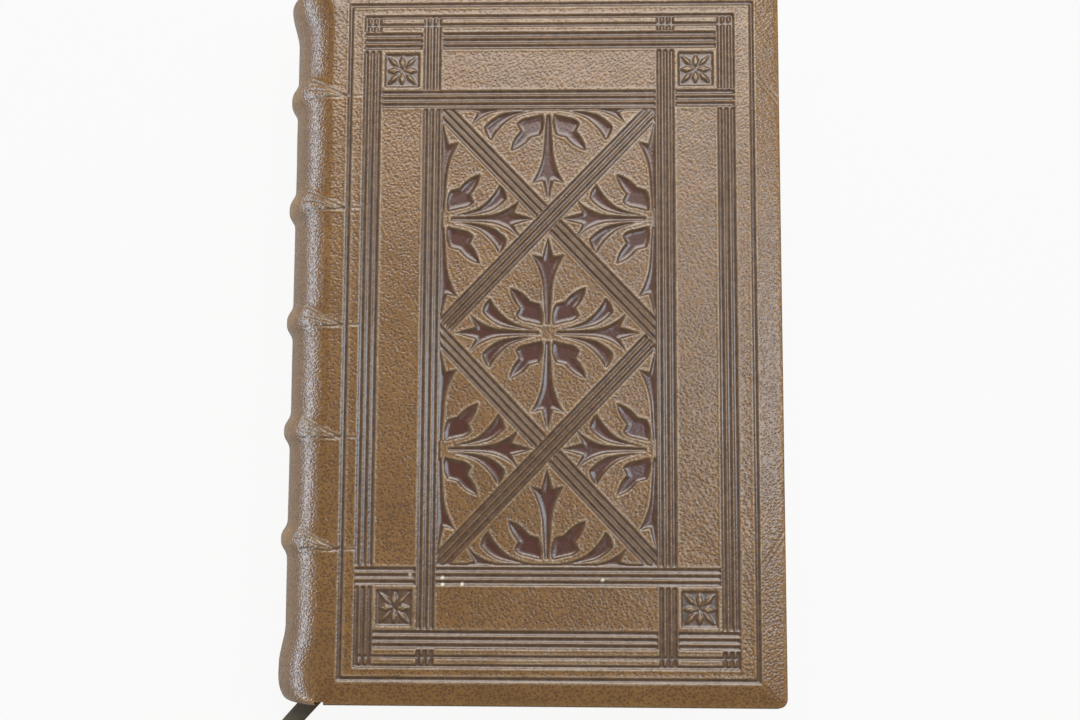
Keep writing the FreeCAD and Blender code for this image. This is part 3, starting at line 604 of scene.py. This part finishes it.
def mixed(tree, share, under, over):
    """One colour over another, by its share."""
    return add_node(tree, "ShaderNodeMix", {0: share, 6: under, 7: over}, data_type="RGBA").outputs[2]


def leather_material():
    """Waxed brown goatskin: pored grain, smooth dark tooling and rubbed edges, with a painted
    highlight on the lips and painted shade in the deep of the leaves.
    """
    material, tree = new_material("waxed_goatskin")
    spots = add_node(tree, "ShaderNodeTexCoord").outputs["Object"]
    tooled, lip, rubbed, deep, specks = [
        add_node(tree, "ShaderNodeAttribute", attribute_name=name).outputs["Fac"]
        for name in ("tooled", "lip", "rubbed", "deep", "specks")]
    drift = add_node(tree, "ShaderNodeTexNoise", {"Vector": spots, "Scale": 420.0, "Detail": 2.0})
    centred = add_node(tree, "ShaderNodeVectorMath", {0: drift.outputs["Color"], 1: (0.5, 0.5, 0.5)},
                       operation="SUBTRACT")
    shifted = add_node(tree, "ShaderNodeVectorMath", {0: centred.outputs[0], 1: (0.0007, 0.0007, 0.0007)},
                       operation="MULTIPLY")
    warped = add_node(tree, "ShaderNodeVectorMath", {0: spots, 1: shifted.outputs[0]}, operation="ADD")
    slanted = add_node(tree, "ShaderNodeMapping", {
        "Vector": warped.outputs[0], "Rotation": (0, 0, GRAIN_SLANT), "Scale": (1.0, 0.82, 0.9)},
        vector_type="TEXTURE")
    pores = add_node(tree, "ShaderNodeTexVoronoi", {"Vector": slanted.outputs[0], "Scale": 1280.0},
                     feature="F1")
    pebble = add_node(tree, "ShaderNodeMapRange", {"Value": pores.outputs["Distance"],
                                                   "From Min": 0.1, "From Max": 0.7},
                      interpolation_type="SMOOTHSTEP")
    fine = add_node(tree, "ShaderNodeTexNoise", {"Vector": spots, "Scale": 3400.0, "Detail": 2.0})
    patches = add_node(tree, "ShaderNodeTexNoise", {"Vector": spots, "Scale": 55.0, "Detail": 5.0,
                                                    "Roughness": 0.6})
    small = add_node(tree, "ShaderNodeTexNoise", {"Vector": spots, "Scale": 600.0, "Detail": 3.0})

    ground = two_tones(tree, patches.outputs["Fac"], 0.3, (128, 90, 44), 0.72, (148, 105, 55))
    floors = two_tones(tree, small.outputs["Fac"], 0.35, (84, 61, 45), 0.68, (112, 84, 62))
    lip_highlight_share = add_node(tree, "ShaderNodeMath", {0: lip, 1: 0.45}, operation="MULTIPLY")
    wear = add_node(tree, "ShaderNodeMath", {0: rubbed, 1: small.outputs["Fac"]}, operation="MULTIPLY")
    colour = mixed(tree, pebble.outputs[0], tone(97, 64, 35), ground)
    colour = mixed(tree, tooled, colour, floors)
    # Painted shade: a dark colour laid in the deep of the leaves.
    colour = mixed(tree, deep, colour, tone(84, 40, 22))
    # Painted highlight: a pale colour laid on the lips beside the tool lines.
    colour = mixed(tree, lip_highlight_share.outputs[0], colour, tone(208, 190, 160))
    colour = mixed(tree, wear.outputs[0], colour, tone(190, 142, 84))
    colour = mixed(tree, specks, colour, tone(236, 226, 200))

    smoothing = add_node(tree, "ShaderNodeMapRange", {"Value": tooled, "To Min": 1.0, "To Max": 0.15})
    lumps = add_node(tree, "ShaderNodeMath", {0: fine.outputs["Fac"], 1: 0.35, 2: pebble.outputs[0]},
                     operation="MULTIPLY_ADD")
    grain = add_node(tree, "ShaderNodeMath", {0: lumps.outputs[0], 1: smoothing.outputs[0]},
                     operation="MULTIPLY")
    bump = add_node(tree, "ShaderNodeBump", {"Strength": 0.55, "Distance": 0.00007,
                                             "Height": grain.outputs[0]})
    rough = add_node(tree, "ShaderNodeMapRange", {"Value": pebble.outputs[0], "To Min": 0.7,
                                                  "To Max": 0.5})
    smooth = add_node(tree, "ShaderNodeMix", {0: tooled, 2: rough.outputs[0], 3: 0.3})
    skin = add_node(tree, "ShaderNodeBsdfPrincipled", {
        "Base Color": colour, "Roughness": smooth.outputs[0], "Specular IOR Level": 0.15,
        "Coat Weight": 1.0, "Coat IOR": 1.65, "Coat Roughness": 0.21, "Normal": bump.outputs[0],
        "Coat Normal": bump.outputs[0]})
    add_node(tree, "ShaderNodeOutputMaterial", {0: skin.outputs[0]})
    return material


leather = leather_material()


def finish_leather(item, body, *nodes):
    """The leather's material, and the body and the nodes that a piece of it belongs to."""
    item.data.materials.clear()
    item.data.materials.append(leather)
    if body:
        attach(item, body)
    if nodes:
        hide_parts(*nodes)


def fore_reach(along, inset):
    """How far a row of the cover reaches, round the two corners of the fore edge."""
    bend = CORNER_ROUND - inset
    past = np.clip(np.abs(along) - (head - CORNER_ROUND), 0, bend)
    return fore - CORNER_ROUND + np.sqrt(np.maximum(bend * bend - past * past, 0))


def seated(spots, front):
    """Cover points, with the height from the outer face, in the closed book."""
    placed = spots.copy()
    placed[..., 0] += joint_x
    if front:
        placed[..., 2] += face_z
        return placed
    placed[..., 1] *= -1
    placed[..., 2] *= -1
    return placed


# The last two numbers place and size the painted highlight on the lips.
TOOLED_TOP, TOOLED_WIDE, HIGHLIGHT_PLACE, HIGHLIGHT_WIDE = 0.24, 0.3, 0.4, 0.17
CHIP_WIDE = 0.35
CHIPS = ((23.0, -62.0), (31.3, -62.7), (31.3, -64.4), (36.3, -64.3), (72.0, -63.2))


def frame_distance(across, along):
    """The line round the cover, where the bevel starts."""
    middle, half = (FRAME_FORE + FRAME_JOINT) / 2, (FRAME_FORE - FRAME_JOINT) / 2
    side = np.maximum(np.abs(across - middle) - half, np.abs(along) - FRAME_END)
    return np.abs(side) - FRAME_HALF


def skin_marks(across, along, distance, worn, hollow=0.0, chips=()):
    """What the leather's colour depends on, besides the place. The lip mark is a painted
    highlight, and the deep mark is painted shade.
    """
    chipped = np.zeros(distance.shape)
    for u, y in chips:
        chipped = np.maximum(chipped, ease(1.6 - np.hypot(across - u, along - y) / CHIP_WIDE))
    # Painted highlight: a pale band just outside each tool line, kept as the lip mark.
    pale = np.exp(-((distance - HIGHLIGHT_PLACE) / HIGHLIGHT_WIDE) ** 2)
    return {"tooled": ease((TOOLED_TOP - distance) / TOOLED_WIDE),
            "lip": pale * (0.6 + 0.4 * uneven(across, along, 4, 8)), "rubbed": worn,
            # Painted shade: the deep of the leaves, which the material darkens.
            "deep": np.zeros(distance.shape) + hollow, "specks": chipped}


FLAT_END, LEAF_SLOPE, RUB_WIDE = 110.0, 1.2, 0.9


def cover_skin(side, pitch, cuts):
    """The outer face of one cover, split into pieces, then its edges and turn-ins."""
    front = side == "front"
    along_line = np.linspace(RIM_ROUND - head, head - RIM_ROUND, int(2 * head / pitch))
    share_line = np.linspace(0, 1, int((fore - JOINT_SEAM) / pitch))
    plain = JOINT_SEAM + share_line * (fore - RIM_ROUND - JOINT_SEAM)
    reach = fore_reach(along_line, RIM_ROUND)
    squeeze = (reach - FLAT_END)[:, None] / (fore - RIM_ROUND - FLAT_END)
    even = np.broadcast_to(plain[None, :], (len(along_line), len(plain)))
    across = np.where(even < FLAT_END, even, FLAT_END + (even - FLAT_END) * squeeze)
    along = np.broadcast_to(along_line[:, None], across.shape)
    distance = frame_distance(across, along)
    hollow = np.zeros(across.shape)
    if front:
        lines, leaves = tool_fields(even - TOOL_U, along)
        # The hollow of the leaves sinks the leather and also sets the painted shade in their deep.
        hollow = ease(-leaves / LEAF_SLOPE)
        distance = np.minimum(distance, np.minimum(lines, leaves))
    tails = tail_distance(across, along) if front else distance
    height = cover_height(across, along, np.minimum(distance, tails), hollow, front)
    spots = seated(np.stack([across, along, height], axis=2), front)
    normals = grid_normals(spots)
    outline = np.minimum(fore - across, head - np.abs(along))
    marks = skin_marks(across, along, np.minimum(distance, tails + TAIL_PALE),
                       np.exp(-(outline / RUB_WIDE) ** 2), hollow, CHIPS if front else ())
    for name, first, last in cuts:
        start = int(first * (len(share_line) - 1))
        stop = int(last * (len(share_line) - 1)) + 1
        piece = grid_piece(name, spots[:, start:stop], normals[:, start:stop],
                           {key: values[:, start:stop] for key, values in marks.items()})
        finish_leather(piece, f"{side}_cover", f"{side}_leather")
    face = np.stack([across, along, height], axis=2)
    cover_edge(side, np.concatenate([face[0], face[1:, -1], face[-1, -2::-1]]))


def cover_edge(side, rim):
    """The edge of one cover and its turn-ins, from the rim of its face. A row of the section has
    its way in from the outline, its level, or else its height against the rim's."""
    base = -COVER_THICK
    section = [(RIM_ROUND, None, 0.0), (0.16, None, -0.13), (0.03, None, -0.42), (0.0, None, -0.9),
               (0.0, base + 0.7, 0), (0.08, base + 0.3, 0), (0.3, base + 0.08, 0), (0.7, base, 0),
               (2.6, base, 0), (10.9, base, 0)]
    rows = []
    for u, v, z in rim:
        up = 1 if v > 0 else -1
        beside = (u - (fore - CORNER_ROUND), abs(v) - (head - CORNER_ROUND))
        row = []
        for inset, level, drop in section:
            if beside[0] > 0 and beside[1] > 0 and inset < CORNER_ROUND:
                far = math.hypot(*beside)
                bend = CORNER_ROUND - inset
                spot = (fore - CORNER_ROUND + beside[0] / far * bend,
                        (head - CORNER_ROUND + beside[1] / far * bend) * up)
            elif abs(v) > head - RIM_ROUND - 0.01:
                spot = (min(u, fore - inset), (head - inset) * up)
            else:
                spot = (fore - inset, min(abs(v), head - inset) * up)
            row.append((*spot, z + drop if level is None else level))
        rows.append(row)
    edge = seated(np.array(rows), side == "front")
    strip = finished_mesh(f"{side}_leather_turn_in", (edge.reshape(-1, 3) * MM).tolist(), [
        (row * len(section) + step, row * len(section) + step + 1,
         (row + 1) * len(section) + step + 1, (row + 1) * len(section) + step)
        for row in range(len(rim) - 1) for step in range(len(section) - 1)])
    mended = bmesh.new()
    mended.from_mesh(strip.data)
    bmesh.ops.remove_doubles(mended, verts=mended.verts, dist=1e-6)
    mended.to_mesh(strip.data)
    mended.free()
    strip.data.shade_smooth()
    finish_leather(strip, f"{side}_cover", f"{side}_leather")


FRONT_PITCH, BACK_PITCH = 0.32, 0.6
cover_skin("front", FRONT_PITCH, (("front_leather_spine_side", 0, 0.34),
                                  ("front_leather_panel", 0.34, 0.67),
                                  ("front_leather_fore_side", 0.67, 1)))

# Leather of the back cover: the same goatskin pasted over the lower board and turned in round it.
# It has a plain line where the bevel starts, and no other tooling.
cover_skin("back", BACK_PITCH, (("back_leather_skin", 0, 1),))

# Leather of the spine: the same skin again, moulded damp over the five cords and set into a cap
# over each end band. It turns in over itself at both ends. A cap has its rise, the place where it
# starts, the length of its slope and the place where it bends in.
SPINE_SWELL, BAND_RISE, BAND_REACH = 12.0, 1.7, 3.1
HEAD_CAP, TAIL_CAP, CAP_DROP = (2.1, 81.5, 11.0, 92.0), (1.6, 75.0, 11.0, 88.5), 3.4
HALF_THICK = face_z / 2


def band_bulge(along):
    """The raised bands as they stand out at the middle of the spine, from 0 to 1."""
    return sum(np.exp(-np.abs((along - crown) / BAND_REACH) ** 3) for crown in BAND_CROWNS)


def spine_swell(along):
    """How far the spine stands out at its middle, along the book."""
    swell = SPINE_SWELL + BAND_RISE * band_bulge(along)
    for (rise, start, length, bend), way in ((HEAD_CAP, 1), (TAIL_CAP, -1)):
        swell += rise * ease((along * way - start) / length)
        past = np.clip((along * way - bend) / (head - bend), 0, 1)
        swell -= CAP_DROP * (1 - np.sqrt(1 - past * past * 0.98))
    return swell


def spine_bow(turn, along):
    """The radius and half angle of the spine's round, and the way from the nearer joint line."""
    swell = spine_swell(along)
    bow = (HALF_THICK ** 2 + swell ** 2) / (2 * swell)
    opening = np.arctan2(HALF_THICK, bow - swell)
    return bow, opening, -bow * opening * (1 - np.abs(turn))


def spine_point(turn, along, lift):
    """A point of the spine: turn runs from 1 at the front joint to -1 at the back joint."""
    bow, opening, _ = spine_bow(turn, along)
    return np.stack([joint_x + bow - spine_swell(along) - (bow + lift) * np.cos(opening * turn), along,
                     HALF_THICK + (bow + lift) * np.sin(opening * turn)], axis=-1)


CAP_CREASES = (((-15.5, -78.0), (-22.0, -83.0)), ((-14.5, -80.5), (-22.0, -86.5)),
               ((-13.5, -83.0), (-20.0, -89.5)), ((-12.0, -86.0), (-17.0, -92.0)))
CAP_CREASE_WIDE, CAP_CREASE_DEEP = 0.3, 0.16
TURN_BEND, BODY_START = 0.85, 0.9
SPINE_ROWS, SPINE_COLUMNS, SPINE_SEAM = 620, 124, 0.955
WORN_END, WORN_LEAST, WORN_BAND, WORN_START, WORN_FADE = 2.2, 0.35, 0.6, 8, 6
cap_turn = [(TURN_BEND * (1 - math.sin(step)), TURN_BEND * (1 - math.cos(step)))
            for step in (0.0, 0.4, 0.8, 1.2, math.pi / 2, 2.0, 2.5, math.pi)]
inner_rows = [(cap_turn[-1][0] + far, cap_turn[-1][1]) for far in (1.0, 2.4, 4.0)]
ends = [(head - back, sink) for back, sink in cap_turn + inner_rows]
body_line = np.linspace(BODY_START - head, head - BODY_START, SPINE_ROWS)
along_line = np.array([-y for y, _ in ends[:0:-1]] + list(body_line) + [y for y, _ in ends[1:]])
sink_line = np.array([sink for _, sink in ends[:0:-1]] + [0.0] * len(body_line)
                     + [sink for _, sink in ends[1:]])
turn_line = np.linspace(SPINE_SEAM, -SPINE_SEAM, SPINE_COLUMNS)
turn, along = np.meshgrid(turn_line, along_line)
way = spine_bow(turn, along)[2]
distance = np.where(turn > 0, tail_distance(way, along), FAR_OFF)
lift = band_ridge(way, along) + pressed(distance) + skin_texture(way, along) - sink_line[:, None]
for start, end in CAP_CREASES:
    lift += crease(way, along, start, end, CAP_CREASE_WIDE, CAP_CREASE_DEEP)
spots = spine_point(turn, along, lift)
worn = np.maximum(np.exp(-((head - np.abs(along)) / WORN_END) ** 2),
                  (WORN_LEAST + WORN_BAND * band_bulge(along)) * ease((-way - WORN_START) / WORN_FADE))
spine = grid_piece("spine_leather_skin", spots, grid_normals(spots),
                   skin_marks(way, along, distance + TAIL_PALE, worn), flip=True)
finish_leather(spine, "book_block", "spine_leather")

# Leather of the two joints: where the skin crosses from the spine to a cover. It is creased along
# the hinge line. At the front the bands' lines cross it.
JOINT_COLUMNS, SEAM_STEP = 13, 0.03
for side in ("front", "back"):
    up = 1 if side == "front" else -1
    line = body_line
    steps = np.linspace(0, 1, JOINT_COLUMNS)
    seam_turn = np.full(line.shape, SPINE_SEAM * up)
    seam_way = spine_bow(seam_turn, line)[2]
    texture = skin_texture(seam_way, line)
    edge_spine = spine_point(seam_turn, line, texture)
    before_spine = spine_point(seam_turn - SEAM_STEP * up, line, texture)
    way_in = edge_spine - before_spine
    cover_line = np.full(line.shape, JOINT_SEAM)
    nothing = np.zeros(line.shape)
    cover_z = cover_height(cover_line, line * up, nothing + FAR_OFF, nothing, False)
    edge_cover = seated(np.stack([cover_line, line * up, cover_z], axis=1), side == "front")
    way_out = np.zeros(edge_cover.shape)
    way_out[:, 0] = 1.0
    span = np.linalg.norm(edge_cover - edge_spine, axis=1, keepdims=True)
    way_in = way_in / np.linalg.norm(way_in, axis=1, keepdims=True) * span
    way_out = way_out * span
    rows = []
    for step in steps:
        rows.append(edge_spine * (2 * step ** 3 - 3 * step ** 2 + 1)
                    + way_in * (step ** 3 - 2 * step ** 2 + step)
                    + edge_cover * (3 * step ** 2 - 2 * step ** 3) + way_out * (step ** 3 - step ** 2))
    spots = np.stack(rows, axis=1)
    reach_u = seam_way[:, None] + (JOINT_SEAM - seam_way[:, None]) * steps
    along = np.broadcast_to(line[:, None], reach_u.shape)
    distance = np.full(reach_u.shape, FAR_OFF)
    if side == "front":
        distance = tail_distance(reach_u, along)
        spots += grid_normals(spots) * (band_ridge(reach_u, along) + pressed(distance))[..., None]
    strip = grid_piece(f"{side}_joint_leather", spots, grid_normals(spots),
                       skin_marks(reach_u, along, distance + TAIL_PALE, np.zeros(reach_u.shape)),
                       flip=side == "back")
    finish_leather(strip, None)
    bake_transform(strip)

# Pages: sections of rag paper, sewn on the cords, then rounded and backed. The edges of their
# leaves show as fine layers, browned by age and handling.


def plain_material(name, dark, light, scale, rough, stretch=(1, 1, 1), deep=0.06 * MM):
    """A matt material with fibres of one scale, and stains between a dark and a light colour."""
    material, tree = new_material(name)
    spots = add_node(tree, "ShaderNodeTexCoord").outputs["Object"]
    stretched = add_node(tree, "ShaderNodeMapping", {"Vector": spots, "Scale": stretch})
    fibres = add_node(tree, "ShaderNodeTexNoise", {"Vector": stretched.outputs[0], "Scale": scale,
                                                   "Detail": 4.0, "Roughness": 0.65})
    stain = add_node(tree, "ShaderNodeTexNoise", {"Vector": spots, "Scale": 40.0, "Detail": 4.0})
    both = add_node(tree, "ShaderNodeMath", {0: fibres.outputs["Fac"], 1: stain.outputs["Fac"]},
                    operation="MULTIPLY")
    colour = two_tones(tree, both.outputs[0], 0.12, dark, 0.4, light)
    bump = add_node(tree, "ShaderNodeBump", {"Strength": 0.6, "Distance": deep,
                                             "Height": fibres.outputs["Fac"]})
    skin = add_node(tree, "ShaderNodeBsdfPrincipled", {
        "Base Color": colour, "Roughness": rough, "Normal": bump.outputs[0]})
    add_node(tree, "ShaderNodeOutputMaterial", {0: skin.outputs[0]})
    return material


def dress(material, *words):
    """Gives the material to the solids whose names hold one of the words."""
    for node, item in frame["nodes"].items():
        if any(word in node for word in words):
            item.data.materials.clear()
            item.data.materials.append(material)


dress(plain_material("aged_page_edges", (150, 124, 86), (222, 204, 168), 30.0, 0.85,
                     (1, 1, 130), 0.2 * MM), "text_block")

# Endpapers: one sheet of plain paper at each end, pasted down on the board and left free beside
# the pages.
dress(plain_material("aged_endpaper", (196, 174, 134), (236, 222, 190), 700.0, 0.9),
      "endpaper", "pastedown")

# Boards: grey millboard, pressed from waste rope and paper. Each is bevelled at its three outer
# edges, and slots for the cords are cut in it before it is covered.
dress(plain_material("grey_millboard", (92, 78, 58), (150, 130, 100), 900.0, 0.95), "_board")

# Sewing cords and lacing slips: twisted linen. The pages are sewn round the cords, whose frayed
# ends are laced into the boards and pasted flat.
dress(plain_material("linen_cord", (118, 98, 66), (190, 168, 128), 1600.0, 0.9),
      "sewing_cord", "slips")

# Spine lining: a strip of card, glued to the rounded back of the pages between the cords. It
# keeps the back in shape under the leather.
dress(plain_material("spine_lining_card", (120, 98, 68), (170, 146, 108), 500.0, 0.95), "spine_lining")

# End bands: silk in two colours wound over a round core and sewn down into the pages, one at the
# head and one at the tail. They follow the round of the back.
BAND_BOW, BAND_MIDDLE, BAND_LEVEL, BAND_OPENING, BAND_STEPS = 18.4, 9.04, 19, 56, 49
BAND_PLACES = (("head", 92.7), ("tail", -92.7))
BAND_SIZES = (("Turns", 104), ("Core Radius", 1.15 * MM), ("Thread Radius", 0.19 * MM))
COLOUR_TURNS = 4
gold_silk = plain_material("gold_band_silk", (150, 116, 64), (212, 184, 130), 1500.0, 0.5)
brown_silk = plain_material("brown_band_silk", (66, 40, 26), (112, 74, 46), 1500.0, 0.5)


def end_band_tree():
    """Turns of thread set along a path, four of one colour and then four of the other."""
    tree = bpy.data.node_groups.new("end_band", "GeometryNodeTree")
    tree.interface.new_socket("Path", in_out="INPUT", socket_type="NodeSocketGeometry")
    tree.interface.new_socket("Turns", in_out="INPUT", socket_type="NodeSocketInt")
    tree.interface.new_socket("Core Radius", in_out="INPUT", socket_type="NodeSocketFloat")
    tree.interface.new_socket("Thread Radius", in_out="INPUT", socket_type="NodeSocketFloat")
    tree.interface.new_socket("Band", in_out="OUTPUT", socket_type="NodeSocketGeometry")
    given = add_node(tree, "NodeGroupInput").outputs
    path = add_node(tree, "GeometryNodeMeshToCurve", {"Mesh": given["Path"]}).outputs[0]
    core_ring = add_node(tree, "GeometryNodeCurvePrimitiveCircle",
                         {"Resolution": 16, "Radius": given["Core Radius"]}).outputs[0]
    thread_ring = add_node(tree, "GeometryNodeCurvePrimitiveCircle",
                           {"Resolution": 6, "Radius": given["Thread Radius"]}).outputs[0]
    turn = add_node(tree, "GeometryNodeCurveToMesh", {0: core_ring, 1: thread_ring}).outputs[0]
    core = add_node(tree, "GeometryNodeCurveToMesh", {0: path, 1: core_ring}).outputs[0]
    core = add_node(tree, "GeometryNodeSetMaterial", {"Geometry": core, "Material": brown_silk}).outputs[0]
    places = add_node(tree, "GeometryNodeCurveToPoints", {"Curve": path, "Count": given["Turns"]})
    index = add_node(tree, "GeometryNodeInputIndex").outputs[0]
    count = add_node(tree, "ShaderNodeMath", {0: index, 1: COLOUR_TURNS * 2.0},
                     operation="MODULO").outputs[0]
    joined = add_node(tree, "GeometryNodeJoinGeometry")
    tree.links.new(core, joined.inputs[0])
    for choice, silk in (("LESS_THAN", gold_silk), ("GREATER_THAN", brown_silk)):
        chosen = add_node(tree, "ShaderNodeMath", {0: count, 1: COLOUR_TURNS - 0.5},
                          operation=choice).outputs[0]
        turns = add_node(tree, "GeometryNodeInstanceOnPoints", {
            "Points": places.outputs["Points"], "Selection": chosen, "Instance": turn,
            "Rotation": places.outputs["Rotation"]}).outputs[0]
        real = add_node(tree, "GeometryNodeRealizeInstances", {0: turns}).outputs[0]
        dyed = add_node(tree, "GeometryNodeSetMaterial", {"Geometry": real, "Material": silk}).outputs[0]
        tree.links.new(dyed, joined.inputs[0])
    smooth = add_node(tree, "GeometryNodeSetShadeSmooth", {0: joined.outputs[0]}).outputs[0]
    add_node(tree, "NodeGroupOutput", {0: smooth})
    return tree


wound_band = end_band_tree()
for end, place in BAND_PLACES:
    angles = np.radians(np.linspace(-BAND_OPENING, BAND_OPENING, BAND_STEPS))
    line = [((joint_x + BAND_MIDDLE - BAND_BOW * math.cos(angle)) * MM, place * MM,
             (BAND_LEVEL + BAND_BOW * math.sin(angle)) * MM) for angle in angles]
    mesh = bpy.data.meshes.new(f"{end}_band_path")
    mesh.from_pydata(line, [(step, step + 1) for step in range(len(line) - 1)], [])
    item = bpy.data.objects.new(f"{end}_band_silk", mesh)
    scene.collection.objects.link(item)
    winding = item.modifiers.new("winding", "NODES")
    winding.node_group = wound_band
    for name, value in BAND_SIZES:
        winding[wound_band.interface.items_tree[name].identifier] = value
    shown = item.evaluated_get(bpy.context.evaluated_depsgraph_get())
    item.data = bpy.data.meshes.new_from_object(shown)
    item.modifiers.remove(winding)
    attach(item, "book_block")
    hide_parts(f"{end}_band")
